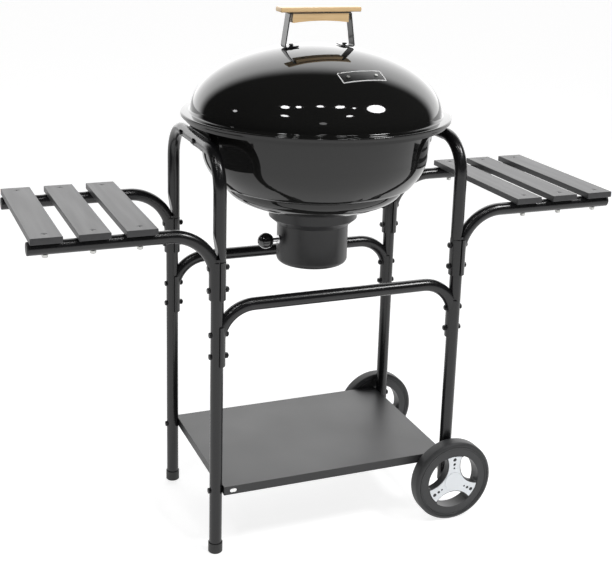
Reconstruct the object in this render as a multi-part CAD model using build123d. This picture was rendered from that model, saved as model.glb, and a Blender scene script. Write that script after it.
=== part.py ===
from build123d import *
from math import asin, atan2, cos, degrees, pi, radians, sin, sqrt
import os

# Kettle charcoal grill on a tubular trolley, in millimetres.
# X runs from the left table to the right table, -Y is the cook's side, Z is up, and the floor is at Z = 0.
os.makedirs("parts", exist_ok=True)

# ---- driving dimensions -------------------------------------------------------------------------
TUBE_R = 12.5  # all frame tubes are 25 mm round tube
TUBE_WALL = 1.5
LEG_X = 254.0  # leg axes stand at (+-LEG_X, +-LEG_Y)
LEG_Y = 157.0
PRESS = 3.65  # how far a pressed tube end's own axis stands off the leg axis
CUP_IN = TUBE_R + 0.1  # inside and outside radius of a pressed half-round tube end
CUP_OUT = TUBE_R + PRESS + 0.25
CUP_HALF_ANGLE = 84.0

ARCH_Z = 808.0  # axis height of the two arches that carry the kettle
ARCH_BEND = 70.0
ARCH_BOLT_Y = (-28.0, 60.0)
ARM_Z = 661.5  # axis height of the four arms under the side tables
ARM_BEND = 88.0
ARM_END = 600.0
CROSS_Z = 515.0  # axis height of the front and back cross tubes
CROSS_BEND = 70.0
UPPER_CUP = (531.6, 606.0)  # height range of the cups at the upper and lower leg joints
LOWER_CUP = (398.0, 478.0)
UPPER_BOLTS = (550.0, 594.0)
LOWER_BOLTS = (416.8, 460.6)
LEG_TOP = 612.0
ARCH_HOLLOW_Z = 656.0  # the pressed ends are solid below these heights
ARM_HOLLOW_Z = 622.0
CROSS_HOLLOW_Z = 495.0

BOARD_TOP = 686.0
BOARD_T = 12.0
BOARD_W = 57.5
BOARD_PITCH = 85.0
BOARD_OUTER_X = 570.75  # middle of the outermost board
BOARD_HALF_L = 180.5

SHELF_TOP = 145.2
SHELF_X = LEG_X - TUBE_R - 0.2
SHELF_Y = 171.4
SHELF_FLANGE = 18.0
SHEET = 1.2

WHEEL_R = 87.0
WHEEL_W = 32.0
WHEEL_Y0 = 172.5  # inner face of each wheel
AXLE_R = 5.0
AXLE_HALF_L = 199.0
RIGHT_LEG_BOTTOM = 72.0
FOOT_R = TUBE_R + 1.8
FOOT_H = 21.0
FOOT_FLOOR = 4.0

BOLT_R = 3.0
HOLE_R = 3.1
HEAD_R = 5.6
HEAD_H = 3.8
NUT_AF = 10.0
NUT_H = 5.0

RIM_Z = 850.0  # top of the lid's flat brim
LID_A = 251.0  # half width and height of the lid's elliptical dome
LID_B = 132.0
BRIM_R = 270.3
LIP_BOTTOM = 842.0
LID_GAP = 0.3

BOWL_RIM_R = 262.0
BOWL_SKIRT_BOTTOM = 834.0
BOWL_MOUTH_R = 234.5
BOWL_FLOOR = 647.0

COLLAR_R = 90.4
COLLAR_Z = 634.0
COLLAR_BOTTOM_R = 75.2
COLLAR_BOTTOM = 621.0
POT_R = 73.0
POT_BOTTOM = 537.0
POT_TOP = 640.0
KNOB_Z = 587.5
KNOB_R = 16.5
KNOB_X = -102.0

CORNERS = [(sx, sy) for sx in (-1, 1) for sy in (-1, 1)]
SIDE_NAME = {-1: "left", 1: "right"}
END_NAME = {-1: "front", 1: "back"}


# ---- small makers -------------------------------------------------------------------------------
def save(name, shape):
    shape.label = name
    export_step(shape, f"parts/{name}.step")


def group(solids):
    return Compound(children=list(solids))


def upright(radius, low, high, x=0.0, y=0.0):
    return Pos(x, y, (low + high) / 2) * Cylinder(radius, high - low)


def rod_x(radius, start, end, y, z):
    return Pos((start + end) / 2, y, z) * Rot(0, 90, 0) * Cylinder(radius, abs(end - start))


def rod_y(radius, start, end, x, z):
    return Pos(x, (start + end) / 2, z) * Rot(90, 0, 0) * Cylinder(radius, abs(end - start))


def block(low, high):
    size = [high[i] - low[i] for i in range(3)]
    return Pos(*[(low[i] + high[i]) / 2 for i in range(3)]) * Box(*size)


def spin(face):
    """Turns a half section, drawn on the XZ plane, into a solid about Z."""
    return revolve(face, axis=Axis.Z)


def section(points):
    return make_face(Plane.XZ * Polyline(*points, close=True))


def hex_x(start, end, y, z):
    nut = extrude(Plane.YZ * RegularPolygon(NUT_AF / 2, 6, major_radius=False), end - start)
    return Pos(start, y, z) * nut


def bent_tube(points, bend, hollow_above):
    """A round tube along straight runs joined by bends, solid below hollow_above where its ends are pressed."""
    path = FilletPolyline(*points, radius=bend)
    start = Plane(origin=path @ 0, z_dir=path % 0)
    tube = sweep(start * Circle(TUBE_R), path=path)
    bore = sweep(start * Circle(TUBE_R - TUBE_WALL), path=path)
    return tube - (bore & block((-700, -300, hollow_above), (700, 300, 900)))


def drill(shape, holes):
    for hole in holes:
        shape = shape - hole
    return shape


def bolt_holes(sx, sy, heights):
    return [rod_x(HOLE_R, sx * 225, sx * 275, sy * LEG_Y, z) for z in heights]


def spot_faces(sx, sy, toward, heights):
    """Flats pressed into a tube's outside, so that bolt heads and nuts seat at the cups' own depth."""
    near = sx * (LEG_X - toward * CUP_OUT)
    return [rod_x(6.4, near, near - sx * toward * 12, sy * LEG_Y, z) for z in heights]


def cup(sx, sy, toward, heights, bolts):
    """A drilled half-round shell pressed round a leg. toward is +1 on the leg's kettle side, -1 on its table side."""
    low, high = heights
    ring = upright(CUP_OUT, low, high) - upright(CUP_IN, low - 1, high + 1)
    reach = 40.0
    edge = (reach * cos(radians(CUP_HALF_ANGLE)), reach * sin(radians(CUP_HALF_ANGLE)))
    wedge = extrude(make_face(Polyline((0, 0), edge, (reach, 0), (edge[0], -edge[1]), close=True)), high)
    shell = ring & wedge
    if sx * toward > 0:
        shell = Rot(0, 0, 180) * shell
    return drill(Pos(sx * LEG_X, sy * LEG_Y, 0) * shell, bolt_holes(sx, sy, bolts))


# ---- legs ---------------------------------------------------------------------------------------
SHELF_BOLT_Z = SHELF_TOP - SHELF_FLANGE / 2 - 1
for sx, sy in CORNERS:
    bottom = FOOT_FLOOR if sx < 0 else RIGHT_LEG_BOTTOM
    leg = upright(TUBE_R, bottom, LEG_TOP) - upright(TUBE_R - TUBE_WALL, bottom - 1, LEG_TOP + 1)
    leg = Pos(sx * LEG_X, sy * LEG_Y, 0) * leg
    leg = drill(leg, bolt_holes(sx, sy, UPPER_BOLTS + LOWER_BOLTS + (SHELF_BOLT_Z,)))
    if sx > 0:
        leg = leg - rod_y(AXLE_R + 0.1, sy * (LEG_Y - 20), sy * (LEG_Y + 20), LEG_X, WHEEL_R)
    save(f"{END_NAME[sy]}_{SIDE_NAME[sx]}_leg", leg)

feet = []
for sy in (-1, 1):
    cap = upright(FOOT_R, 0, FOOT_H) - upright(TUBE_R + 0.05, FOOT_FLOOR, FOOT_H + 1)
    cap = chamfer(cap.edges().filter_by(GeomType.CIRCLE).group_by(Axis.Z)[0], 1.5)
    feet.append(Pos(-LEG_X, sy * LEG_Y, 0) * cap)
save("foot_caps", group(feet))

# ---- arches: each is an upside-down U across the trolley, its ends pressed round the legs ---------
for sx in (-1, 1):
    x = sx * (LEG_X - PRESS)
    low = UPPER_CUP[1] - 8
    points = [(x, -LEG_Y, low), (x, -LEG_Y, ARCH_Z), (x, LEG_Y, ARCH_Z), (x, LEG_Y, low)]
    arch = bent_tube(points, ARCH_BEND, ARCH_HOLLOW_Z)
    arch = drill(arch, [rod_x(HOLE_R, sx * 235, sx * 265, y, ARCH_Z) for y in ARCH_BOLT_Y])
    for sy in (-1, 1):
        dent = block((0, -20, -60), (30, 20, 0))
        dent = Pos(LEG_X + TUBE_R - PRESS + 0.1, 0, 662) * Rot(0, 11, 0) * dent
        if sx < 0:
            dent = mirror(dent, about=Plane.YZ)
        arch = arch - Pos(0, sy * LEG_Y, 0) * dent
        arch = arch - upright(CUP_IN, low - 5, LEG_TOP + 1, sx * LEG_X, sy * LEG_Y)
    for sy in (-1, 1):
        arch = arch + cup(sx, sy, 1, UPPER_CUP, UPPER_BOLTS)
    save(f"{SIDE_NAME[sx]}_arch", arch)

# ---- table arms: from the table's outer edge inwards, then down beside the leg -------------------
BOARD_X = [BOARD_OUTER_X - i * BOARD_PITCH for i in range(3)]
for sx, sy in CORNERS:
    x = sx * (LEG_X + PRESS)
    y = sy * LEG_Y
    low = ARM_Z - ARM_BEND - 14
    points = [(x, y, low), (x, y, ARM_Z), (sx * ARM_END, y, ARM_Z)]
    arm = bent_tube(points, ARM_BEND, ARM_HOLLOW_Z)
    arm = arm - upright(CUP_IN, low - 5, LEG_TOP + 2, sx * LEG_X, y)
    inward = sorted((sx * (LEG_X - 40), sx * (LEG_X + 1.2)))
    arm = arm - block((inward[0], y - 20, LEG_TOP - 4), (inward[1], y + 20, 660))
    arm = drill(arm, [upright(HOLE_R, ARM_Z - 15, ARM_Z + 15, sx * bx, y) for bx in BOARD_X])
    arm = drill(arm, bolt_holes(sx, sy, UPPER_BOLTS) + spot_faces(sx, sy, -1, UPPER_BOLTS))
    arm = arm + cup(sx, sy, -1, UPPER_CUP, UPPER_BOLTS)
    save(f"{END_NAME[sy]}_{SIDE_NAME[sx]}_arm", arm)

plugs = []
for sx, sy in CORNERS:
    head = Rot(0, 90, 0) * Cylinder(TUBE_R, 3.0)
    head = fillet(head.edges().filter_by(GeomType.CIRCLE).group_by(Axis.X)[-1], 1.8)
    stem = Pos(-9.5, 0, 0) * Rot(0, 90, 0) * Cylinder(TUBE_R - TUBE_WALL - 0.05, 16.0)
    plug = Pos(ARM_END + 1.5, sy * LEG_Y, ARM_Z) * (head + stem)
    plugs.append(plug if sx > 0 else mirror(plug, about=Plane.YZ))
save("arm_end_plugs", group(plugs))

# ---- front and back cross tubes ------------------------------------------------------------------
for sy in (-1, 1):
    x = LEG_X - PRESS
    y = sy * LEG_Y
    low = CROSS_Z - CROSS_BEND - 14
    points = [(-x, y, low), (-x, y, CROSS_Z), (x, y, CROSS_Z), (x, y, low)]
    tube = bent_tube(points, CROSS_BEND, CROSS_HOLLOW_Z)
    for sx in (-1, 1):
        tube = tube - upright(CUP_IN, low - 5, CROSS_Z + 30, sx * LEG_X, y)
        tube = drill(tube, bolt_holes(sx, sy, LOWER_BOLTS) + spot_faces(sx, sy, 1, LOWER_BOLTS))
    for sx in (-1, 1):
        tube = tube + cup(sx, sy, 1, LOWER_CUP, LOWER_BOLTS)
    save(f"{END_NAME[sy]}_cross_tube", tube)

# ---- shelf: one sheet, all four edges folded down ------------------------------------------------
shelf = block((-SHELF_X, -SHELF_Y, SHELF_TOP - SHELF_FLANGE), (SHELF_X, SHELF_Y, SHELF_TOP))
shelf = shelf - block(
    (-SHELF_X + SHEET, -SHELF_Y + SHEET, SHELF_TOP - SHELF_FLANGE - 1),
    (SHELF_X - SHEET, SHELF_Y - SHEET, SHELF_TOP - SHEET),
)
shelf = drill(shelf, [h for sx, sy in CORNERS for h in bolt_holes(sx, sy, (SHELF_BOLT_Z,))])
for sx, sy in CORNERS:
    slot = extrude(Plane.XZ * SlotOverall(14.0, 8.0), 10, both=True)
    shelf = shelf - Pos(sx * (SHELF_X - 19), sy * SHELF_Y, SHELF_BOLT_Z) * slot
save("shelf", shelf)


# ---- frame bolts and nuts, all across X ----------------------------------------------------------
def pan_bolt(sx, outer, inner, y, z, head_r=HEAD_R, shank_r=BOLT_R):
    head = rod_x(head_r, sx * outer, sx * (outer + HEAD_H), y, z)
    face = head.edges().filter_by(GeomType.CIRCLE).group_by(Axis.X)[-1 if sx > 0 else 0]
    return fillet(face, 1.6) + rod_x(shank_r, sx * (outer + 1), sx * inner, y, z)


def nut(start, end, y, z):
    low, high = min(start, end), max(start, end)
    return hex_x(low, high, y, z) - rod_x(BOLT_R + 0.05, low - 1, high + 1, y, z)


bolts = []
nuts = []
for sx, sy in CORNERS:
    y = sy * LEG_Y
    joints = [(LEG_X + CUP_OUT, LEG_X - CUP_OUT, z) for z in UPPER_BOLTS]
    joints += [(LEG_X + TUBE_R, LEG_X - CUP_OUT, z) for z in LOWER_BOLTS]
    joints += [(LEG_X + TUBE_R, SHELF_X - SHEET, SHELF_BOLT_Z)]
    for outer, inner, z in joints:
        bolts.append(pan_bolt(sx, outer, inner - NUT_H - 1.5, y, z))
        nuts.append(nut(sx * inner, sx * (inner - NUT_H), y, z))
save("frame_bolts", group(bolts))
save("frame_nuts", group(nuts))

# ---- table boards, screwed down through the arms -------------------------------------------------
BOARD_NAME = ("outer", "middle", "inner")
SCREW_SINK = 3.0
SCREW_HEAD_R = 5.8
board_screws = []
board_nuts = []
for sx in (-1, 1):
    for i, name in enumerate(BOARD_NAME):
        x = sx * BOARD_X[i]
        board = Pos(x, 0, BOARD_TOP - BOARD_T / 2) * Box(BOARD_W, 2 * BOARD_HALF_L, BOARD_T)
        board = fillet(board.edges(), 1.2)
        for y in (-LEG_Y, LEG_Y):
            board = board - upright(HOLE_R, BOARD_TOP - BOARD_T - 1, BOARD_TOP + 1, x, y)
            sink = Pos(x, y, BOARD_TOP - SCREW_SINK / 2 - 0.4) * Cone(HOLE_R, SCREW_HEAD_R + 0.1, SCREW_SINK)
            board = board - sink - upright(SCREW_HEAD_R + 0.1, BOARD_TOP - 0.4, BOARD_TOP + 1, x, y)
            head = Pos(x, y, BOARD_TOP - SCREW_SINK / 2 - 0.4) * Cone(BOLT_R, SCREW_HEAD_R, SCREW_SINK)
            shank = upright(BOLT_R, ARM_Z - TUBE_R - NUT_H - 1, BOARD_TOP - SCREW_SINK, x, y)
            slot = Pos(x, y, BOARD_TOP - 0.4) * (Box(7, 1.2, 2) + Box(1.2, 7, 2))
            board_screws.append(head + shank - slot)
            low = ARM_Z - TUBE_R - NUT_H
            hexagon = extrude(RegularPolygon(NUT_AF / 2, 6, major_radius=False), NUT_H)
            board_nuts.append(Pos(x, y, low) * hexagon - upright(BOLT_R + 0.05, low - 1, low + 6, x, y))
        save(f"{SIDE_NAME[sx]}_{name}_board", board)
save("board_screws", group(board_screws))
save("board_nuts", group(board_nuts))


# ---- bowl ---------------------------------------------------------------------------------------
def bowl_body(inset, top):
    """The bowl's outside as a solid, or its inside when inset is the sheet's thickness."""
    mouth = (BOWL_MOUTH_R - inset, top)
    belly = (228.3 - inset, 778.0)
    bend = (221.2 - inset, 744.0)
    step = (201.0 - inset, 710.0 + inset)
    ledge = (184.0 - inset, 706.0 + inset)
    floor_a, floor_b, floor_z = 182.0 - inset, 703.0 - BOWL_FLOOR, 703.0 + inset
    edges = [
        Line((0, top), mouth),
        Line(mouth, belly),
        ThreePointArc(belly, bend, step),
        Line(step, ledge),
        Line(ledge, (floor_a, floor_z)),
        EllipticalCenterArc((0, floor_z), floor_a, floor_b, start_angle=270, arc_size=90),
        Line((0, floor_z - floor_b), (0, top)),
    ]
    return spin(Plane.XZ * make_face(Wire(edges)))


BOWL_TOP = RIM_Z - SHEET - LID_GAP
BOWL_BOLT_Z = 789.0
BOWL_BOLT_Y = (-10.0, 42.0)
BOWL_BOLT_WALL = 227.5  # inside radius of the bowl under a bolt head
bowl_outside = bowl_body(0, BOWL_TOP)
rim = section([
    (BOWL_MOUTH_R - 1, BOWL_TOP),
    (BOWL_RIM_R, BOWL_TOP),
    (BOWL_RIM_R, BOWL_SKIRT_BOTTOM),
    (BOWL_RIM_R - 2.4, BOWL_SKIRT_BOTTOM),
    (BOWL_RIM_R - 2.4, BOWL_TOP - SHEET),
    (BOWL_MOUTH_R - 1, BOWL_TOP - SHEET),
])
bowl = bowl_outside + spin(rim) - bowl_body(SHEET, BOWL_TOP + 5)
ASH_HOLE_R = 13.0
ASH_HOLE_RING = 46.0
for i in range(6):
    a = radians(60 * i)
    bowl = bowl - upright(ASH_HOLE_R, 600, 700, ASH_HOLE_RING * cos(a), ASH_HOLE_RING * sin(a))
bowl = bowl - upright(ASH_HOLE_R, 600, 700)
for sx in (-1, 1):
    for y in BOWL_BOLT_Y:
        bowl = bowl - rod_x(HOLE_R, sx * 205, sx * 240, y, BOWL_BOLT_Z)

# ---- brackets that hang the bowl between the arches ----------------------------------------------
BRACKET_T = 2.5
BRACKET_OUT = LEG_X - PRESS - TUBE_R - 0.05
BRACKET_IN = BRACKET_OUT - BRACKET_T
THIN_NUT = 3.0
bracket_bolts = []
bracket_nuts = []
spacers = []
bowl_bolts = []
for sx in (-1, 1):
    plate = block((BRACKET_IN, -50, 781), (BRACKET_OUT, 82, 822))
    plate = fillet(plate.edges().filter_by(Axis.X), 9)
    for y in ARCH_BOLT_Y:
        plate = plate - rod_x(HOLE_R, 230, 245, y, ARCH_Z)
        tube_face = LEG_X - PRESS + TUBE_R
        bracket_bolts.append(pan_bolt(sx, tube_face, BRACKET_IN - THIN_NUT, y, ARCH_Z))
        bracket_nuts.append(nut(sx * BRACKET_IN, sx * (BRACKET_IN - THIN_NUT), y, ARCH_Z))
    for y in BOWL_BOLT_Y:
        plate = plate - rod_x(HOLE_R, 230, 245, y, BOWL_BOLT_Z)
        tube = rod_x(7.0, sx * 210, sx * (BRACKET_IN - 0.05), y, BOWL_BOLT_Z)
        tube = tube - rod_x(HOLE_R, sx * 205, sx * 240, y, BOWL_BOLT_Z)
        spacers.append((tube - bowl_body(-0.05, BOWL_TOP)).solids().sort_by(Axis.X)[-1 if sx > 0 else 0])
        seat = sqrt(BOWL_BOLT_WALL**2 - (abs(y) + HEAD_R) ** 2) - 0.1
        head = rod_x(HEAD_R, sx * (seat - 3.0), sx * seat, y, BOWL_BOLT_Z)
        shank = rod_x(BOLT_R, sx * (seat - 1), sx * (BRACKET_OUT + NUT_H + 1), y, BOWL_BOLT_Z)
        bowl_bolts.append(head + shank)
        bracket_nuts.append(nut(sx * BRACKET_OUT, sx * (BRACKET_OUT + NUT_H), y, BOWL_BOLT_Z))
    if sx < 0:
        plate = mirror(plate, about=Plane.YZ)
    save(f"{SIDE_NAME[sx]}_bowl_bracket", plate)
save("bracket_bolts", group(bracket_bolts))
save("bracket_nuts", group(bracket_nuts))
save("bowl_spacers", group(spacers))
save("bowl_bolts", group(bowl_bolts))

# ---- rests for the cooking grate, small angles welded inside the bowl ----------------------------
REST_Z = 812.0
REST_REACH = (217.0, 230.5)  # how far out the rests start and end before they are cut to the bowl's wall
REST_GAP = 0.35  # room for the weld between a rest and the wall
rests = []
for angle in (45, 135, 225, 315):
    near, far = REST_REACH
    upper = block((near, -9, REST_Z - 1.5), (far, 9, REST_Z))
    lower = block((far - 3.4, -9, REST_Z - 16), (far, 9, REST_Z))
    rests.append(Rot(0, 0, angle) * (upper + lower) & bowl_body(SHEET + REST_GAP, BOWL_TOP))
save("grate_rests", group(rests))

# ---- collar under the bowl, and the springs that hold the ash pot --------------------------------
COLLAR_SCREW_R = 83.5
collar_flange = section([
    (COLLAR_R - 14, 664.0),
    (COLLAR_R, 664.0),
    (COLLAR_R, COLLAR_Z),
    (COLLAR_BOTTOM_R, COLLAR_BOTTOM),
    (COLLAR_BOTTOM_R - SHEET, COLLAR_BOTTOM),
    (COLLAR_R - SHEET, COLLAR_Z + 0.6),
    (COLLAR_R - SHEET, 651.0),
    (COLLAR_R - 14, 648.6),
])
collar = spin(collar_flange) - bowl_body(-0.1, BOWL_TOP)
collar_screws = []
for angle in (90, 210, 330):
    a = radians(angle)
    x, y = COLLAR_SCREW_R * cos(a), COLLAR_SCREW_R * sin(a)
    bowl = bowl - upright(2.1, 600, 700, x, y)
    collar = collar - upright(2.1, 600, 700, x, y)
    screw = upright(4.0, 646.2, 649.0, x, y) + upright(2.0, 648, 660, x, y)
    collar_screws.append(screw)
save("bowl", bowl)
save("collar", collar)
save("collar_screws", group(collar_screws))

CLIP_WIDTH = 12.0
clip_path = FilletPolyline(
    (COLLAR_R - SHEET - 0.9, 646),
    (COLLAR_R - SHEET - 0.9, 640),
    (POT_R + 0.8, 633.5),
    (COLLAR_BOTTOM_R + 1.5, 628.5),
    radius=2.0,
)
clip_section = Plane.XZ * trace(clip_path, 0.8)
clips = []
for angle in (30, 150, 270):
    clip = extrude(clip_section, CLIP_WIDTH / 2, both=True)
    clips.append(Rot(0, 0, angle) * clip)
save("pot_clips", group(clips))

# ---- ash pot with its side knob ------------------------------------------------------------------
pot = upright(POT_R, POT_BOTTOM, POT_TOP)
pot = fillet(pot.edges().filter_by(GeomType.CIRCLE).group_by(Axis.Z)[0], 10)
inside = upright(POT_R - SHEET, POT_BOTTOM + SHEET, POT_TOP + 5)
inside = fillet(inside.edges().filter_by(GeomType.CIRCLE).group_by(Axis.Z)[0], 9)
pot = pot - inside - rod_x(HOLE_R, -POT_R - 5, -POT_R + 8, 0, KNOB_Z)
save("ash_pot", pot)
washer_end = -POT_R - 2.0
washer = rod_x(9.0, washer_end, -POT_R - 0.02, 0, KNOB_Z) - rod_x(HOLE_R, -POT_R - 5, -POT_R + 5, 0, KNOB_Z)
save("knob_washer", washer)
bolt_end = KNOB_X - 2
knob_bolt = rod_x(BOLT_R, bolt_end, -POT_R + 3, 0, KNOB_Z)
knob_bolt = knob_bolt + rod_x(HEAD_R, -POT_R + SHEET + 0.5, -POT_R + SHEET + 3.5, 0, KNOB_Z)
knob_bolt = knob_bolt + rod_x(4.4, KNOB_X + KNOB_R - 1.6, washer_end - 0.02, 0, KNOB_Z)
save("knob_bolt", knob_bolt)
knob = Pos(KNOB_X, 0, KNOB_Z) * Sphere(KNOB_R)
knob = knob - rod_x(BOLT_R + 0.02, bolt_end - 0.2, KNOB_X + 20, 0, KNOB_Z)
knob = knob - rod_x(4.45, KNOB_X + KNOB_R - 1.7, KNOB_X + KNOB_R + 3, 0, KNOB_Z)
save("pot_knob", knob)


# ---- grates -------------------------------------------------------------------------------------
def grate(radius, ring_wire, bar_wire, z, bar_x, braces):
    """A round wire grate: a ring and cross braces at height z, with parallel bars welded on top."""
    ring = Pos(0, 0, z) * Torus(radius, ring_wire)
    wires = []
    for y in braces:
        reach = sqrt(radius**2 - y**2)
        wires.append(rod_x(bar_wire + 0.3, -reach, reach, y, z))
    for x in bar_x:
        reach = sqrt(radius**2 - x**2) + 0.4
        wires.append(rod_y(bar_wire, -reach, reach, x, z + ring_wire + bar_wire - 0.9))
    return ring.fuse(*wires)


COOKING_BARS = [16.0 * (i + 0.5) for i in range(-13, 13)]
CHARCOAL_BARS = [22.0 * i for i in range(-8, 9)]
save("cooking_grate", grate(224.0, 2.5, 1.75, REST_Z + 2.8, COOKING_BARS, (-98.0, 98.0)))
save("charcoal_grate", grate(190.0, 3.0, 2.5, 713.2, CHARCOAL_BARS, (-70.0, 70.0)))

# ---- wheels on a fixed axle ---------------------------------------------------------------------
TYRE_IN = 74.0
WINDOW_R = 58.5
WINDOW_AXIS = 70.5  # the windows' inner edges are arcs about points this far out, between the spokes
WINDOW_ARC = 46.4
HUB_R = 17.0
COVER_T = 1.6
COVER_INSET = 2.2  # how far the silver cover stays inside the wheel's own outline
BORE_R = AXLE_R + 0.05


def wheel_solid(face_points):
    """A solid of revolution about the wheel axle from (radius, distance from the wheel's inner face)."""
    solid = spin(section(face_points))
    return Rot(90, 0, 0) * solid


def window_lobes(arc):
    angles = [radians(30 + 120 * i) for i in range(3)]
    return [Pos(WINDOW_AXIS * cos(a), WINDOW_AXIS * sin(a)) * Circle(arc) for a in angles]


for sy in (-1, 1):
    tyre = wheel_solid([
        (TYRE_IN + 0.05, 2), (TYRE_IN + 4, 0), (WHEEL_R - 7, 0), (WHEEL_R - 2.2, 2.2), (WHEEL_R, 7),
        (WHEEL_R, WHEEL_W - 7), (WHEEL_R - 2.2, WHEEL_W - 2.2), (WHEEL_R - 7, WHEEL_W),
        (TYRE_IN + 4, WHEEL_W), (TYRE_IN + 0.05, WHEEL_W - 2),
    ])
    rim_body = wheel_solid([
        (BORE_R, 0.5), (HUB_R, 0.5), (HUB_R, 14), (WINDOW_R, 14), (WINDOW_R, 2), (TYRE_IN, 2),
        (TYRE_IN, WHEEL_W - 2), (WINDOW_R, WHEEL_W - 2), (WINDOW_R, WHEEL_W - 3), (BORE_R, WHEEL_W - 3),
    ])
    for lobe in window_lobes(WINDOW_ARC):
        window = fillet((Circle(WINDOW_R) & lobe).vertices(), 6)
        rim_body = rim_body - Rot(90, 0, 0) * extrude(window, WHEEL_W + 2)
    pocket = Rot(90, 0, 0) * upright(10.0, WHEEL_W - 12, WHEEL_W)
    rim_body = rim_body - pocket
    cover = Circle(WINDOW_R - COVER_INSET)
    for lobe in window_lobes(WINDOW_ARC + COVER_INSET):
        cover = cover - lobe
    for i in range(3):
        a = radians(90 + 120 * i)
        for distance, dot in ((49.5, 4.1), (39.0, 3.2), (30.3, 2.3)):
            cover = cover - Pos(distance * cos(a), distance * sin(a)) * Circle(dot)
    cover = Pos(0, 0, WHEEL_W - 2.98) * extrude(cover, COVER_T)
    cap = Pos(0, 0, WHEEL_W - 2.98 + COVER_T / 2 + 0.6) * Cylinder(20.5, COVER_T + 1.2)
    cap = fillet(cap.edges().filter_by(GeomType.CIRCLE).group_by(Axis.Z)[-1], 1.0)
    cover = Rot(90, 0, 0) * (cover + cap)
    for name, shape in (("tyre", tyre), ("wheel", rim_body), ("wheel_cover", cover)):
        shape = Pos(LEG_X, -WHEEL_Y0, WHEEL_R) * shape
        if sy > 0:
            shape = mirror(shape, about=Plane.XZ)
        save(f"{END_NAME[sy]}_{name}", shape)

save("axle", rod_y(AXLE_R, -AXLE_HALF_L, AXLE_HALF_L, LEG_X, WHEEL_R))
washers = []
push_nuts = []
for sy in (-1, 1):
    near, far = LEG_Y + TUBE_R + 0.3, WHEEL_Y0 - 0.3
    ring = rod_y(9.5, sy * near, sy * far, LEG_X, WHEEL_R)
    washers.append(ring - rod_y(AXLE_R + 0.1, sy * (near - 1), sy * (far + 1), LEG_X, WHEEL_R))
    near = WHEEL_Y0 + WHEEL_W - 11.5
    ring = rod_y(8.5, sy * near, sy * (near + 2.5), LEG_X, WHEEL_R)
    push_nuts.append(ring - rod_y(AXLE_R + 0.02, sy * (near - 1), sy * (near + 4), LEG_X, WHEEL_R))
save("axle_washers", group(washers))
save("axle_push_nuts", group(push_nuts))


# ---- lid ----------------------------------------------------------------------------------------
DOME_ARCS = 6


def dome_line(rise):
    """The dome's half outline from its rim to its top, an ellipse built of short arcs, rise outside the lid's."""
    a, b = LID_A + rise, LID_B + rise
    step = radians(90 / DOME_ARCS)
    at = lambda t: (a * cos(t), RIM_Z + b * sin(t))
    arcs = [ThreePointArc(at(i * step), at((i + 0.5) * step), at((i + 1) * step)) for i in range(DOME_ARCS - 1)]
    edge_x, edge_z = at(pi / 2 - step)
    drop = RIM_Z + b - edge_z
    crown = (edge_x**2 + drop**2) / (2 * drop)
    half = asin(edge_x / crown) / 2
    middle = (crown * sin(half), RIM_Z + b - crown * (1 - cos(half)))
    return arcs + [ThreePointArc((edge_x, edge_z), middle, (0, RIM_Z + b))]


def dome(rise, base):
    """A solid dome down to the height base, its surface standing rise outside the lid's."""
    a, b = LID_A + rise, LID_B + rise
    floor_line = Polyline((0, RIM_Z + b), (0, base), (a, base), (a, RIM_Z))
    return spin(Plane.XZ * make_face(dome_line(rise) + [floor_line]))


def dome_height(out):
    return RIM_Z + LID_B * sqrt(1 - (out / LID_A) ** 2)


def on_dome(angle, out):
    """The place on the lid at a compass angle and a distance out from its middle, with Z along the normal."""
    tilt = degrees(atan2(LID_B**2 * out, LID_A**2 * (dome_height(out) - RIM_Z)))
    return Rot(0, 0, angle) * Pos(out, 0, dome_height(out)) * Rot(0, tilt, 0)


brim_line = Polyline(
    (LID_A - SHEET, RIM_Z),
    (LID_A - SHEET, RIM_Z - SHEET),
    (BRIM_R - SHEET, RIM_Z - SHEET),
    (BRIM_R - SHEET, LIP_BOTTOM),
    (BRIM_R, LIP_BOTTOM),
    (BRIM_R, RIM_Z),
    (LID_A, RIM_Z),
)
top_line = Line((0, RIM_Z + LID_B), (0, RIM_Z + LID_B - SHEET))
lid = spin(Plane.XZ * make_face(dome_line(0) + [top_line] + dome_line(-SHEET) + [brim_line]))

# the vent sits on the back slope of the lid
VENT_HOLE_R = 12.0
VENT_RING = 24.0
VENT_DISC_R = 44.0
VENT_DISH = 430.0
vent_place = on_dome(90, 150.0)
vent_holes = [Rot(0, 0, 120 * i) * Pos(VENT_RING, 0, 0) * Cylinder(VENT_HOLE_R, 40) for i in range(3)]
for hole in vent_holes:
    lid = lid - vent_place * hole
lid = lid - vent_place * Cylinder(HOLE_R, 40)
dish = [
    ThreePointArc(*[(r, 0.7 - r * r / (2 * VENT_DISH)) for r in (0, VENT_DISC_R / 2, VENT_DISC_R)]),
    ThreePointArc(*[(r, 1.7 - r * r / (2 * VENT_DISH)) for r in (0, VENT_DISC_R / 2, VENT_DISC_R)]),
    Line((0, 0.7), (0, 1.7)),
    Line((VENT_DISC_R, 0.7 - VENT_DISC_R**2 / (2 * VENT_DISH)), (VENT_DISC_R, 1.7 - VENT_DISC_R**2 / (2 * VENT_DISH))),
]
disc = spin(Plane.XZ * make_face(dish))
for hole in vent_holes:
    disc = disc - Rot(0, 0, 60) * hole
disc = disc - Cylinder(BOLT_R + 0.05, 40)
tab = block((VENT_DISC_R - 3, -11, -1.0), (VENT_DISC_R - 1.4, 11, 10))
save("vent_damper", vent_place * (disc + tab))

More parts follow.
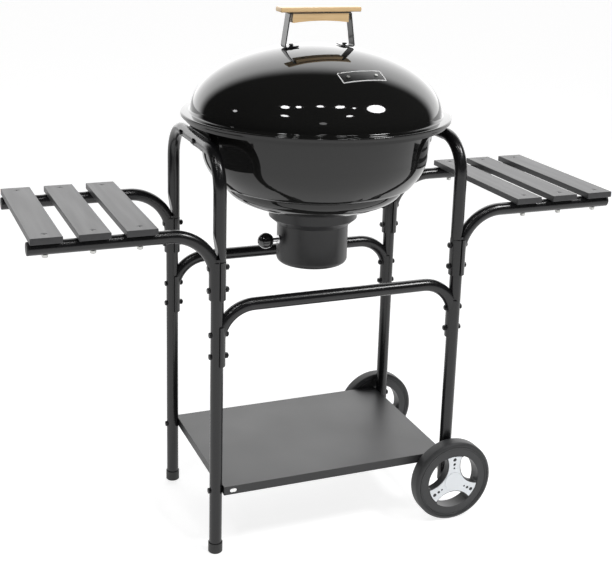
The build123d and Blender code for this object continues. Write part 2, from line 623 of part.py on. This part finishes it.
# handle: steel strap with a wooden board on top and a wooden block between its legs
STRAP_T = 2.5
STRAP_W = 24.0
STRAP_TOP = 1046.0
strap_line = FilletPolyline(
    (45.0, dome_height(45.0) + 2.0),
    (73.5, dome_height(73.5) + 2.2),
    (64.0, STRAP_TOP),
    (-64.0, STRAP_TOP),
    (-73.5, dome_height(73.5) + 2.2),
    (-45.0, dome_height(45.0) + 2.0),
    radius=3.5,
)
strap = extrude(Plane.XZ * trace(strap_line, STRAP_T), STRAP_W / 2, both=True) - dome(0.1, RIM_Z - 5)
LID_SCREW_X = 57.0
WOOD_SCREW_X = 36.0
SCREW_R = 2.4
screws = []
board_low = STRAP_TOP + STRAP_T / 2 + 0.05
handle_board = block((-85, -16, board_low), (85, 16, board_low + 9.5))
handle_board = fillet(handle_board.edges(), 2.5)
block_high = STRAP_TOP - STRAP_T / 2 - 0.05
arch_r = 450.0
arch_top = 1030.5
handle_block = block((-59, -12, 1027), (59, 12, block_high))
handle_block = fillet(handle_block.edges().filter_by(Axis.Y), 1.0)
handle_block = handle_block - rod_y(arch_r, -20, 20, 0, arch_top - arch_r)
for sx in (-1, 1):
    x = sx * LID_SCREW_X
    seat = dome_height(abs(x) - 4) + 3.4
    cut = upright(SCREW_R + 0.1, 960, 990, x, 0)
    strap = strap - cut
    lid = lid - cut
    head = upright(4.6, seat, seat + 3.0, x, 0)
    head = fillet(head.edges().filter_by(GeomType.CIRCLE).group_by(Axis.Z)[-1], 1.6)
    inner = dome_height(abs(x) + 6) - 2.8
    screws.append(head + upright(SCREW_R, inner - 6, seat + 1, x, 0))
    hexagon = Pos(x, 0, inner - 4) * extrude(RegularPolygon(4.0, 6, major_radius=False), 4)
    screws.append(hexagon - upright(SCREW_R + 0.05, inner - 6, inner + 2, x, 0))
    x = sx * WOOD_SCREW_X
    low = arch_top - arch_r + sqrt(arch_r**2 - x**2)
    cut = upright(SCREW_R + 0.05, 1020, board_low + 6, x, 0)
    head_cut = upright(4.4, 1020, low + 3.5, x, 0)
    handle_block = handle_block - cut - head_cut
    handle_board = handle_board - cut
    strap = strap - cut
    screws.append(upright(4.2, low + 0.6, low + 3.4, x, 0) + upright(SCREW_R, low + 2, board_low + 5.8, x, 0))
save("handle_strap", strap)
save("handle_board", handle_board)
save("handle_block", handle_block)
save("handle_screws", group(screws))

# nameplate: a thin blank plate bent to the lid's slope on the cook's side
PLATE_ANGLE = -83.6
PLATE_OUT = 172.5
PLATE_W = 93.0
PLATE_H = 31.0
RIVET_OUT = 30.0
outline = RectangleRounded(PLATE_H, PLATE_W, 2.0)
cutter = on_dome(PLATE_ANGLE, PLATE_OUT) * extrude(outline, 30, both=True)
nameplate = (dome(1.3, RIM_Z - 5) - dome(0.1, RIM_Z - 5)) & cutter
rivets = []
for y in (-RIVET_OUT, RIVET_OUT):
    pin_place = on_dome(PLATE_ANGLE + degrees(atan2(y, PLATE_OUT)), sqrt(PLATE_OUT**2 + y**2))
    nameplate = nameplate - pin_place * Cylinder(1.6, 20)
    lid = lid - pin_place * Cylinder(1.6, 20)
    rivets.append(pin_place * (Pos(0, 0, -0.5) * Cylinder(1.5, 5) + Pos(0, 0, 2.1) * Cylinder(3.2, 1.4)))
pivot_head = Pos(0, 0, 3.6) * Cylinder(6.0, 2.4)
pivot_pin = Pos(0, 0, -0.8) * Cylinder(BOLT_R, 8)
pivot_foot = Pos(0, 0, -3.6) * Cylinder(5.5, 2.0)
rivets.append(vent_place * (pivot_head + pivot_pin + pivot_foot))
save("nameplate", nameplate)
save("lid_rivets", group(rivets))
save("lid", lid)
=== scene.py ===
from math import atan2, cos, pi, radians, sin, sqrt

import bmesh
import bpy
from mathutils import Matrix, Vector


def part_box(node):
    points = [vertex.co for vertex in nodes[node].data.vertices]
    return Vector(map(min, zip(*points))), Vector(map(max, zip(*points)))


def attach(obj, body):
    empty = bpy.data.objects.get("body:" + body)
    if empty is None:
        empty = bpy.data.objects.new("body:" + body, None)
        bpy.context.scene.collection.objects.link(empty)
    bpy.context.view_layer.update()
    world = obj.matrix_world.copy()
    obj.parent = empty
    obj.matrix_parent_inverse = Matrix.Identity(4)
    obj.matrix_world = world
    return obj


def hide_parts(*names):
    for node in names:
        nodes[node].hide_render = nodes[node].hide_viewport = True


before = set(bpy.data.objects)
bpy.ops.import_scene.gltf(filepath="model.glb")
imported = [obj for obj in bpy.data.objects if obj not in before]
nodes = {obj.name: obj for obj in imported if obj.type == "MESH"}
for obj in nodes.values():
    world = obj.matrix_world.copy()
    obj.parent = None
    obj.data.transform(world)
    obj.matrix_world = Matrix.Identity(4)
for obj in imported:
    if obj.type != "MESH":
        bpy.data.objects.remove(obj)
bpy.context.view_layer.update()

# ---- studio: the floor, the lights and the camera ----------------------------------------------
# A white floor that glows a little, as an overexposed studio floor does, before a bright backdrop.
# The room behind the camera is dark, with a row of small ceiling lamps and one larger window.
FLOOR_REACH = 14.0
floor_mesh = bpy.data.meshes.new("studio_floor")
corners = [(-FLOOR_REACH, -FLOOR_REACH, 0), (FLOOR_REACH, -FLOOR_REACH, 0)]
corners += [(FLOOR_REACH, FLOOR_REACH, 0), (-FLOOR_REACH, FLOOR_REACH, 0)]
floor_mesh.from_pydata(corners, [], [(0, 1, 2, 3)])
floor = bpy.data.objects.new("studio_floor", floor_mesh)
bpy.context.scene.collection.objects.link(floor)
floor_material = bpy.data.materials.new("white_floor")
floor_material.use_nodes = True
floor_shader = floor_material.node_tree.nodes["Principled BSDF"]
floor_shader.inputs["Base Color"].default_value = (0.5, 0.5, 0.5, 1.0)
floor_shader.inputs["Roughness"].default_value = 1.0
floor_shader.inputs["Specular IOR Level"].default_value = 0.0
floor_shader.inputs["Emission Color"].default_value = (1.0, 1.0, 1.0, 1.0)
floor_shader.inputs["Emission Strength"].default_value = 0.8
floor_mesh.materials.append(floor_material)

BACKDROP_WAY = (0.365, 0.931, 0.0)  # the backdrop stands this way from the grill
BACKDROP_EDGE = (0.5, 0.72)  # cosines of the angles at which it starts and is full
BACKDROP_GLOW = 2.4
ROOM_GLOW = 0.03
world = bpy.data.worlds.new("studio_air")
world.use_nodes = True
sky = world.node_tree
way = sky.nodes.new("ShaderNodeTexCoord")
toward = sky.nodes.new("ShaderNodeVectorMath")
toward.operation = "DOT_PRODUCT"
toward.inputs[1].default_value = BACKDROP_WAY
sky.links.new(way.outputs["Generated"], toward.inputs[0])
glow = sky.nodes.new("ShaderNodeMapRange")
glow.interpolation_type = "SMOOTHSTEP"
glow.inputs["From Min"].default_value, glow.inputs["From Max"].default_value = BACKDROP_EDGE
glow.inputs["To Min"].default_value = ROOM_GLOW
glow.inputs["To Max"].default_value = BACKDROP_GLOW
sky.links.new(toward.outputs["Value"], glow.inputs["Value"])
path = sky.nodes.new("ShaderNodeLightPath")
seen = sky.nodes.new("ShaderNodeMix")
seen.inputs["B"].default_value = 1.0
sky.links.new(path.outputs["Is Camera Ray"], seen.inputs["Factor"])
sky.links.new(glow.outputs["Result"], seen.inputs["A"])
air = sky.nodes["Background"]
air.inputs["Color"].default_value = (1.0, 1.0, 1.0, 1.0)
sky.links.new(seen.outputs["Result"], air.inputs["Strength"])
bpy.context.scene.world = world
bpy.context.scene.view_settings.view_transform = "Standard"

LAMP_FROM = (0.0, -0.2, 0.9)
LAMP_AWAY = 3.0
LAMPS = (
    # name, compass angle, height angle, width, height, brightness
    ("window", -38, 46, 0.80, 0.80, 30),
    ("lamp_1", -158, 56, 0.34, 0.30, 34),
    ("lamp_2", -142, 61, 0.20, 0.22, 34),
    ("lamp_3", -109, 66, 0.26, 0.18, 34),
    ("lamp_4", -77, 63, 0.36, 0.26, 34),
    ("lamp_5", -60, 57, 0.14, 0.12, 30),
    ("lamp_6", -147, 38, 0.34, 0.22, 26),
    ("lamp_7", -77, 42, 0.30, 0.20, 26),
    ("lamp_8", 163, 24, 0.22, 0.22, 10),
    ("lamp_9", -107, 25, 0.34, 0.34, 3),
)
for name, compass, rise, width, height, brightness in LAMPS:
    light = bpy.data.lights.new(name, "AREA")
    light.shape = "ELLIPSE"
    light.size = width
    light.size_y = height
    light.energy = brightness * pi * width * height * pi / 4
    lamp = bpy.data.objects.new(name, light)
    flat = cos(radians(rise))
    aim = Vector((flat * cos(radians(compass)), flat * sin(radians(compass)), sin(radians(rise))))
    lamp.location = Vector(LAMP_FROM) + LAMP_AWAY * aim
    lamp.rotation_euler = (-aim).to_track_quat("-Z", "Y").to_euler()
    bpy.context.scene.collection.objects.link(lamp)

CAMERA_PLACE = (-0.8882, -2.1304, 1.2805)
CAMERA_TURN = -22.28
CAMERA_DIP = 15.36
CAMERA_ROLL = 1.65
camera_data = bpy.data.cameras.new("camera")
camera_data.lens = 68.74
camera_data.shift_y = -0.12
camera = bpy.data.objects.new("camera", camera_data)
camera.location = CAMERA_PLACE
turn = Matrix.Rotation(radians(CAMERA_TURN), 3, "Z") @ Matrix.Rotation(radians(90 - CAMERA_DIP), 3, "X")
camera.rotation_euler = (turn @ Matrix.Rotation(radians(CAMERA_ROLL), 3, "Z")).to_euler()
bpy.context.scene.collection.objects.link(camera)
bpy.context.scene.camera = camera


# ---- finishes ----------------------------------------------------------------------------------
def coated(name, low, high, roughness, grain, bump, coat=0.0, metallic=0.0, mottle=3.0, stretch=(1, 1, 1)):
    """A finish whose colour drifts between two tones, with a fine grain of the given size in metres.

    A stretch under 1 along an axis draws both out into streaks that way.
    """
    material = bpy.data.materials.new(name)
    material.use_nodes = True
    tree = material.node_tree
    shader = tree.nodes["Principled BSDF"]
    shader.inputs["Metallic"].default_value = metallic
    shader.inputs["Coat Weight"].default_value = coat
    shader.inputs["Coat Roughness"].default_value = 0.04
    point = tree.nodes.new("ShaderNodeTexCoord")
    place = tree.nodes.new("ShaderNodeMapping")
    place.inputs["Scale"].default_value = stretch
    tree.links.new(point.outputs["Object"], place.inputs["Vector"])
    cloud = tree.nodes.new("ShaderNodeTexNoise")
    cloud.inputs["Scale"].default_value = mottle
    cloud.inputs["Detail"].default_value = 4.0
    tree.links.new(place.outputs["Vector"], cloud.inputs["Vector"])
    tone = tree.nodes.new("ShaderNodeMix")
    tone.data_type = "RGBA"
    tone.inputs["A"].default_value = (*low, 1.0)
    tone.inputs["B"].default_value = (*high, 1.0)
    tree.links.new(cloud.outputs["Fac"], tone.inputs["Factor"])
    tree.links.new(tone.outputs["Result"], shader.inputs["Base Color"])
    shine = tree.nodes.new("ShaderNodeMapRange")
    shine.inputs["To Min"].default_value = roughness * 0.8
    shine.inputs["To Max"].default_value = roughness * 1.2
    tree.links.new(cloud.outputs["Fac"], shine.inputs["Value"])
    tree.links.new(shine.outputs["Result"], shader.inputs["Roughness"])
    peel = tree.nodes.new("ShaderNodeTexNoise")
    peel.inputs["Scale"].default_value = 1.0 / grain
    peel.inputs["Detail"].default_value = 2.0
    tree.links.new(place.outputs["Vector"], peel.inputs["Vector"])
    relief = tree.nodes.new("ShaderNodeBump")
    relief.inputs["Strength"].default_value = bump
    relief.inputs["Distance"].default_value = grain * 0.1
    tree.links.new(peel.outputs["Fac"], relief.inputs["Height"])
    tree.links.new(relief.outputs["Normal"], shader.inputs["Normal"])
    return material


def dress(material, *names):
    """Puts a finish on whole CAD pieces."""
    for name in names:
        for place in nodes[name].material_slots:
            place.material = material


# ---- frame tubes --------------------------------------------------------------------------------
# Legs, arches, table arms and cross tubes: bent round steel tube whose ends are pressed half round
# where they meet the legs, powder coated semi-gloss black. The coat has a fine orange peel.
tube_paint = coated("tube_powder_coat", (0.006, 0.006, 0.0065), (0.010, 0.010, 0.011), 0.24, 0.0016, 0.12)
FRAME_ENDS = ("front_left", "back_left", "front_right", "back_right")
dress(tube_paint, *[f"{end}_leg" for end in FRAME_ENDS], *[f"{end}_arm" for end in FRAME_ENDS])
dress(tube_paint, "left_arch", "right_arch", "front_cross_tube", "back_cross_tube")

# ---- foot caps and arm end plugs ----------------------------------------------------------------
# Soft black polyethylene, moulded, pushed on or into the tube ends by hand. Slightly scuffed.
cap_plastic = coated(
    "moulded_black_cap", (0.012, 0.012, 0.012), (0.03, 0.03, 0.03), 0.5, 0.0009, 0.3, mottle=60.0
)
dress(cap_plastic, "foot_caps", "arm_end_plugs")

# ---- shelf --------------------------------------------------------------------------------------
# One steel sheet with its four edges folded down, bolted between the legs. Satin dark grey coat
# with a fine wrinkle, and faint scuffs where things are slid on to it.
shelf_paint = coated(
    "shelf_wrinkle_coat", (0.022, 0.022, 0.023), (0.034, 0.034, 0.036), 0.42, 0.0012, 0.35, mottle=7.0
)
dress(shelf_paint, "shelf")

# ---- fasteners ----------------------------------------------------------------------------------
# Blackened pan-head bolts and nuts in the frame, and zinc-plated screws, washers and rivets
# elsewhere. The plating has a soft cloudy tone.
black_oxide = coated(
    "black_oxide", (0.015, 0.015, 0.016), (0.035, 0.035, 0.036), 0.32, 0.0006, 0.2, metallic=0.6, mottle=150.0
)
zinc = coated(
    "zinc_plate", (0.5, 0.5, 0.48), (0.68, 0.68, 0.66), 0.3, 0.0005, 0.15, metallic=1.0, mottle=180.0
)
dress(black_oxide, "frame_bolts", "frame_nuts", "bracket_bolts", "bracket_nuts", "bowl_bolts", "board_screws")
dress(black_oxide, "handle_screws")
dress(zinc, "board_nuts", "axle", "axle_washers", "axle_push_nuts", "collar_screws", "lid_rivets")

# ---- side table boards --------------------------------------------------------------------------
# Three planks a side of dark grey composite board, planed with a fine straight grain along their
# length and their edges rounded over, each screwed down through two tube arms.
board_grain = coated(
    "composite_board", (0.02, 0.02, 0.021), (0.05, 0.05, 0.053), 0.44, 0.0014, 0.4, mottle=90.0,
    stretch=(1, 0.05, 1)
)
BOARDS = [f"{side}_{row}_board" for side in ("left", "right") for row in ("outer", "middle", "inner")]
dress(board_grain, *BOARDS)

# ---- kettle bowl --------------------------------------------------------------------------------
# Pressed from one sheet of steel with a stepped belly and a rolled rim, then dipped in black
# vitreous enamel and fired, which leaves a deep, slightly wavy gloss.
enamel = coated("black_enamel", (0.007, 0.007, 0.0068), (0.011, 0.011, 0.0105), 0.05, 0.03, 0.02)
SHEET = 0.0012
BOWL_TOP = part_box("bowl")[1].z
BOWL_RIM_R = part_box("bowl")[1].x
BOWL_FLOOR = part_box("bowl")[0].z
MOUTH = (0.2345, 0.832)
BELLY = (0.2283, 0.778)
STEP = (0.201, 0.711)
LEDGE = (0.184, 0.7065)
FLOOR_R = 0.182
FLOOR_Z = 0.703
BELLY_BULGE = 0.0075
BELLY_STEPS = 14
RING_STEPS = 160


def bend(centre, radius, start, stop, steps=6):
    """Points round an arc, from one angle to another in degrees."""
    turns = [radians(start + (stop - start) * i / steps) for i in range(steps + 1)]
    return [(centre[0] + radius * cos(t), centre[1] + radius * sin(t)) for t in turns]


def finish_mesh(mesh, name, material, sharp=32):
    """Makes a named piece of a bmesh, smooth but for the edges sharper than the angle given."""
    bmesh.ops.remove_doubles(mesh, verts=mesh.verts, dist=1e-6)
    bmesh.ops.recalc_face_normals(mesh, faces=mesh.faces)
    for face in mesh.faces:
        face.smooth = True
    for edge in mesh.edges:
        edge.smooth = len(edge.link_faces) == 2 and edge.calc_face_angle(0) < radians(sharp)
    data = bpy.data.meshes.new(name)
    mesh.to_mesh(data)
    mesh.free()
    data.materials.append(material)
    piece = bpy.data.objects.new(name, data)
    bpy.context.scene.collection.objects.link(piece)
    return piece


def lathed(name, outline, material, place=Matrix.Identity(4), steps=RING_STEPS, sharp=32):
    """Spins a closed outline of (radius, height) points round Z, then sets it in place."""
    mesh = bmesh.new()
    rings = []
    for radius, height in outline:
        if radius < 1e-6:
            rings.append([mesh.verts.new((0, 0, height))] * steps)
            continue
        turns = [2 * pi * i / steps for i in range(steps)]
        rings.append([mesh.verts.new((radius * cos(t), radius * sin(t), height)) for t in turns])
    for low, high in zip(rings, rings[1:] + rings[:1]):
        for i in range(steps):
            j = (i + 1) % steps
            corners = list(dict.fromkeys((low[i], low[j], high[j], high[i])))
            if len(corners) > 2:
                mesh.faces.new(corners)
    bmesh.ops.transform(mesh, matrix=place, verts=mesh.verts)
    return finish_mesh(mesh, name, material, sharp)


def bored(piece, holes):
    """Cuts round holes, each (place, radius), right through a piece."""
    drills = bmesh.new()
    for place, radius in holes:
        bmesh.ops.create_cone(
            drills, cap_ends=True, segments=40, radius1=radius, radius2=radius, depth=0.04, matrix=place
        )
    data = bpy.data.meshes.new("drills")
    drills.to_mesh(data)
    drills.free()
    cutter = bpy.data.objects.new("drills", data)
    bpy.context.scene.collection.objects.link(cutter)
    cut = piece.modifiers.new("holes", "BOOLEAN")
    cut.object = cutter
    cut.solver = "EXACT"
    drilled = bpy.data.meshes.new_from_object(piece.evaluated_get(bpy.context.evaluated_depsgraph_get()))
    piece.modifiers.clear()
    mesh = bmesh.new()
    mesh.from_mesh(drilled)
    for edge in mesh.edges:
        if len(edge.link_faces) == 2 and edge.calc_face_angle(0) > radians(32):
            edge.smooth = False
    mesh.to_mesh(piece.data)
    mesh.free()
    bpy.data.objects.remove(cutter)
    bpy.data.meshes.remove(drilled)


def bowl_line(inset):
    """The bowl's half outline from its mouth down to the middle of its floor."""
    line = []
    for i in range(BELLY_STEPS + 1):
        t = i / BELLY_STEPS
        x = BELLY[0] + (STEP[0] - BELLY[0]) * t + BELLY_BULGE * sin(pi * t)
        line.append((x - inset, BELLY[1] + (STEP[1] - BELLY[1]) * t))
    line.append((STEP[0] - 0.004 - inset, STEP[1] - 0.0022 + inset))
    line.append((LEDGE[0] + 0.003 - inset, LEDGE[1] + 0.0006 + inset))
    a, b = FLOOR_R - inset, FLOOR_Z - BOWL_FLOOR
    line += [(a * cos(radians(4 * i)), FLOOR_Z + inset - b * sin(radians(4 * i))) for i in range(23)]
    return line


RIM_ROLL = 0.0016
RIM_EDGE = 0.0024
RIM_BOTTOM = 0.834
bowl_outline = [(MOUTH[0] - SHEET, BOWL_TOP)]
bowl_outline += bend((BOWL_RIM_R - RIM_ROLL, BOWL_TOP - RIM_ROLL), RIM_ROLL, 90, 0)
bowl_outline += [(BOWL_RIM_R, RIM_BOTTOM), (BOWL_RIM_R - RIM_EDGE, RIM_BOTTOM)]
bowl_outline += [(BOWL_RIM_R - RIM_EDGE, BOWL_TOP - SHEET)]
bowl_outline += [(MOUTH[0] + 0.003, BOWL_TOP - SHEET), (MOUTH[0], BOWL_TOP - 0.004), MOUTH] + bowl_line(0)
bowl_outline += list(reversed(bowl_line(SHEET)))
bowl_piece = lathed("bowl_shell", bowl_outline, enamel)
ASH_HOLE_R = 0.013
ASH_RING_R = 0.046
ash_holes = [(Matrix.Translation((0, 0, BOWL_FLOOR)), ASH_HOLE_R)]
for i in range(6):
    a = radians(60 * i)
    place = (ASH_RING_R * cos(a), ASH_RING_R * sin(a), BOWL_FLOOR)
    ash_holes.append((Matrix.Translation(place), ASH_HOLE_R))
bored(bowl_piece, ash_holes)
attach(bowl_piece, "trolley")
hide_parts("bowl")

# ---- lid ----------------------------------------------------------------------------------------
# A deep enamelled dome with a flat brim turned down at its edge, which sits on the bowl's rim. The
# back slope has three round vent holes under a dished damper that turns on a rivet.
LID_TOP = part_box("lid")[1].z
BRIM_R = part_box("lid")[1].x
LIP_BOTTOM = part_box("lid")[0].z
RIM_Z = 0.85
DOME_A = 0.251
DOME_B = LID_TOP - RIM_Z
DOME_STEPS = 44


def dome_arc(inset, lowest):
    """Half of the dome's ellipse from its top to the angle lowest above the brim, in degrees."""
    a, b = DOME_A - inset, DOME_B - inset
    turns = [radians(90 - (90 - lowest) * i / DOME_STEPS) for i in range(DOME_STEPS + 1)]
    return [(max(a * cos(t), 0) if i else 0, RIM_Z + b * sin(t)) for i, t in enumerate(turns)]


lid_outline = dome_arc(0, 2.6)
lid_outline += bend((DOME_A + 0.0045, RIM_Z + 0.0042), 0.0042, 205, 270, 5)
lid_outline += bend((BRIM_R - 0.0022, RIM_Z - 0.0022), 0.0022, 90, 0)
lid_outline += bend((BRIM_R - 0.0006, LIP_BOTTOM + 0.0006), 0.0006, 0, -180, 4)
lid_outline += [(BRIM_R - SHEET, RIM_Z - SHEET - 0.001), (BRIM_R - SHEET - 0.001, RIM_Z - SHEET)]
lid_outline += [(DOME_A + 0.002, RIM_Z - SHEET)]
lid_outline += list(reversed(dome_arc(SHEET, 1)))
lid_piece = lathed("lid_shell", lid_outline, enamel)


def on_dome(angle, out):
    """The place on the dome at a compass angle and a distance out, with Z along its normal."""
    height = DOME_B * sqrt(1 - (out / DOME_A) ** 2)
    tilt = atan2(DOME_B**2 * out, DOME_A**2 * height)
    spot = Matrix.Translation((out, 0, RIM_Z + height)) @ Matrix.Rotation(tilt, 4, "Y")
    return Matrix.Rotation(radians(angle), 4, "Z") @ spot


VENT_OUT = 0.15
VENT_RING_R = 0.024
VENT_HOLE_R = 0.012
vent_place = on_dome(90, VENT_OUT)
vent_holes = []
for i in range(3):
    a = radians(120 * i)
    hole = Matrix.Translation((VENT_RING_R * cos(a), VENT_RING_R * sin(a), 0))
    vent_holes.append((vent_place @ hole, VENT_HOLE_R))
bored(lid_piece, vent_holes)
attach(lid_piece, "lid_body")
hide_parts("lid")

# ---- collar, ash pot, brackets, grate rests and damper ------------------------------------------
# Spun and pressed sheet, sprayed with heat-proof satin black.
heat_paint = coated(
    "heat_proof_black", (0.012, 0.012, 0.013), (0.022, 0.022, 0.023), 0.36, 0.0012, 0.25, mottle=14.0
)
dress(heat_paint, "collar", "ash_pot", "left_bowl_bracket", "right_bowl_bracket", "bowl_spacers")
dress(heat_paint, "grate_rests", "vent_damper")

# ---- pot clips, knob and its bolt ---------------------------------------------------------------
# Three spring steel strips grip the pot. Its knob is a polished black ball on a chromed bolt.
spring_steel = coated("spring_steel", (0.4, 0.4, 0.38), (0.55, 0.55, 0.52), 0.35, 0.0005, 0.1, metallic=1.0)
chrome = coated("chrome_plate", (0.72, 0.72, 0.73), (0.82, 0.82, 0.83), 0.08, 0.004, 0.02, metallic=1.0)
ball_plastic = coated("polished_ball", (0.006, 0.006, 0.006), (0.01, 0.01, 0.01), 0.1, 0.004, 0.03, coat=0.8)
dress(spring_steel, "pot_clips")
dress(chrome, "knob_bolt", "knob_washer")
dress(ball_plastic, "pot_knob")

# ---- grates -------------------------------------------------------------------------------------
# Round wire grates, spot welded and nickel plated; the lower one carries the charcoal.
nickel = coated(
    "nickel_wire", (0.5, 0.49, 0.46), (0.66, 0.65, 0.62), 0.22, 0.001, 0.1, metallic=1.0, mottle=30.0
)
dress(nickel, "cooking_grate", "charcoal_grate")

# ---- wheels -------------------------------------------------------------------------------------
# Hard moulded tyres on three-spoke centres, both dark grey plastic, with a silver-lacquered cover
# pressed on to the outer face of each centre.
tyre_plastic = coated(
    "moulded_tyre", (0.028, 0.029, 0.03), (0.045, 0.046, 0.048), 0.55, 0.0015, 0.5, mottle=25.0
)
wheel_plastic = coated(
    "moulded_centre", (0.025, 0.026, 0.027), (0.038, 0.039, 0.041), 0.42, 0.0012, 0.3, mottle=25.0
)
silver = coated("silver_lacquer", (0.80, 0.83, 0.86), (0.88, 0.91, 0.94), 0.32, 0.0008, 0.06, metallic=0.15)
TYRE_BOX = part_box("front_tyre")
TYRE_R = (TYRE_BOX[1].z - TYRE_BOX[0].z) / 2
TYRE_IN = 0.07405
TYRE_W = TYRE_BOX[1].y - TYRE_BOX[0].y
AXLE_X = (TYRE_BOX[0].x + TYRE_BOX[1].x) / 2
GROOVE_R = 0.0786


def tyre_side(depth):
    """One side of the tyre, from its seat out to the tread; depth is the side it is measured from."""
    side = [(TYRE_IN, 0.0022), (TYRE_IN + 0.0016, 0.0006), (TYRE_IN + 0.003, 0.0002)]
    side += [(GROOVE_R - 0.0007, 0.0002), (GROOVE_R - 0.0003, 0.0012), (GROOVE_R + 0.0003, 0.0012)]
    side += [(GROOVE_R + 0.0007, 0.0)]
    side += [(TYRE_R - 0.007 + x, 0.007 - y) for x, y in bend((0, 0), 0.007, 90, 0, 9)]
    return [(r, abs(depth - h)) for r, h in side]


tyre_outline = tyre_side(0) + list(reversed(tyre_side(TYRE_W)))
for end, way_out in (("front", -1), ("back", 1)):
    inner = abs(TYRE_BOX[1].y) * way_out
    hub = Matrix.Translation((AXLE_X, inner, TYRE_R)) @ Matrix.Rotation(radians(-90 * way_out), 4, "X")
    tyre = lathed(f"{end}_tyre_body", tyre_outline, tyre_plastic, hub, steps=120, sharp=50)
    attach(tyre, f"{end}_roller")
    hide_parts(f"{end}_tyre")
dress(wheel_plastic, "front_wheel", "back_wheel")
dress(silver, "front_wheel_cover", "back_wheel_cover")

# ---- lid handle ---------------------------------------------------------------------------------
# A bent steel strap, lacquered black, carries a light beech board on top and a hollowed block
# beneath it. The wood is lacquered, with its grain along the handle.
strap_steel = coated(
    "black_strap", (0.01, 0.01, 0.011), (0.018, 0.018, 0.019), 0.16, 0.0012, 0.1, mottle=20.0
)
wood = coated(
    "lacquered_beech", (0.70, 0.44, 0.19), (0.92, 0.68, 0.38), 0.38, 0.0012, 0.25, coat=0.2,
    mottle=170.0, stretch=(0.05, 1, 1)
)
dress(strap_steel, "handle_strap")
dress(wood, "handle_board", "handle_block")

# ---- nameplate ----------------------------------------------------------------------------------
# A thin aluminium plate rolled to the lid's curve and held by two rivets. Its blank face is printed
# black, which leaves a bright bare border.
plate_metal = coated("bare_plate", (0.86, 0.86, 0.86), (0.95, 0.95, 0.95), 0.35, 0.0005, 0.1)
plate_print = coated(
    "plate_print", (0.006, 0.006, 0.006), (0.011, 0.011, 0.011), 0.25, 0.0005, 0.1, mottle=60.0
)
PLATE_PLACE = on_dome(-83.6, 0.1725)
PLATE_HALF = (0.0155, 0.0465)
PLATE_BORDER = 0.0016
PLATE_CORNER = 0.0006
PLATE_LOW, PLATE_HIGH = 0.0002, 0.0013


def on_shell(u, v, rise):
    """Drops a point of the plate's flat outline on to the dome, or to a shell rise above it."""
    start, fall = PLATE_PLACE @ Vector((u, v, 0.03)), PLATE_PLACE.to_3x3() @ Vector((0, 0, -1))
    size = Vector((DOME_A + rise, DOME_A + rise, DOME_B + rise))
    p = Vector((start.x / size.x, start.y / size.y, (start.z - RIM_Z) / size.z))
    q = Vector((fall.x / size.x, fall.y / size.y, fall.z / size.z))
    along = (-p.dot(q) - sqrt(p.dot(q) ** 2 - q.dot(q) * (p.dot(p) - 1))) / q.dot(q)
    return start + fall * along


def plate_lines(half, steps):
    """Grid lines across the plate: its edge, the inside of its border, then even steps."""
    inner = half - PLATE_BORDER
    return [-half] + [inner * (2 * i / steps - 1) for i in range(steps + 1)] + [half]


def grid_edge(grid):
    """The outer corners of a grid of rows, in order round it."""
    edge = list(grid[0]) + [row[-1] for row in grid[1:]]
    return edge + list(reversed(grid[-1][:-1])) + [row[0] for row in reversed(grid[1:-1])]


plate = bmesh.new()
across, along_plate = plate_lines(PLATE_HALF[0], 4), plate_lines(PLATE_HALF[1], 12)
layers = []
for rise in (PLATE_LOW, PLATE_HIGH):
    grid = []
    for u in across:
        row = []
        for v in along_plate:
            trim = PLATE_CORNER if abs(u) == PLATE_HALF[0] and abs(v) == PLATE_HALF[1] else 0.0
            corner = (u - trim * (1 if u > 0 else -1), v - trim * (1 if v > 0 else -1))
            row.append(plate.verts.new(on_shell(*corner, rise)))
        grid.append(row)
    layers.append(grid)
for level, grid in enumerate(layers):
    for i in range(len(across) - 1):
        for j in range(len(along_plate) - 1):
            face = plate.faces.new((grid[i][j], grid[i + 1][j], grid[i + 1][j + 1], grid[i][j + 1]))
            border = i in (0, len(across) - 2) or j in (0, len(along_plate) - 2)
            face.material_index = 0 if border or level == 0 else 1
edge_low, edge_high = grid_edge(layers[0]), grid_edge(layers[1])
for i, low in enumerate(edge_low):
    j = (i + 1) % len(edge_low)
    plate.faces.new((low, edge_low[j], edge_high[j], edge_high[i]))
plate_piece = finish_mesh(plate, "blank_nameplate", plate_metal)
plate_piece.data.materials.append(plate_print)
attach(plate_piece, "lid_body")
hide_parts("nameplate")
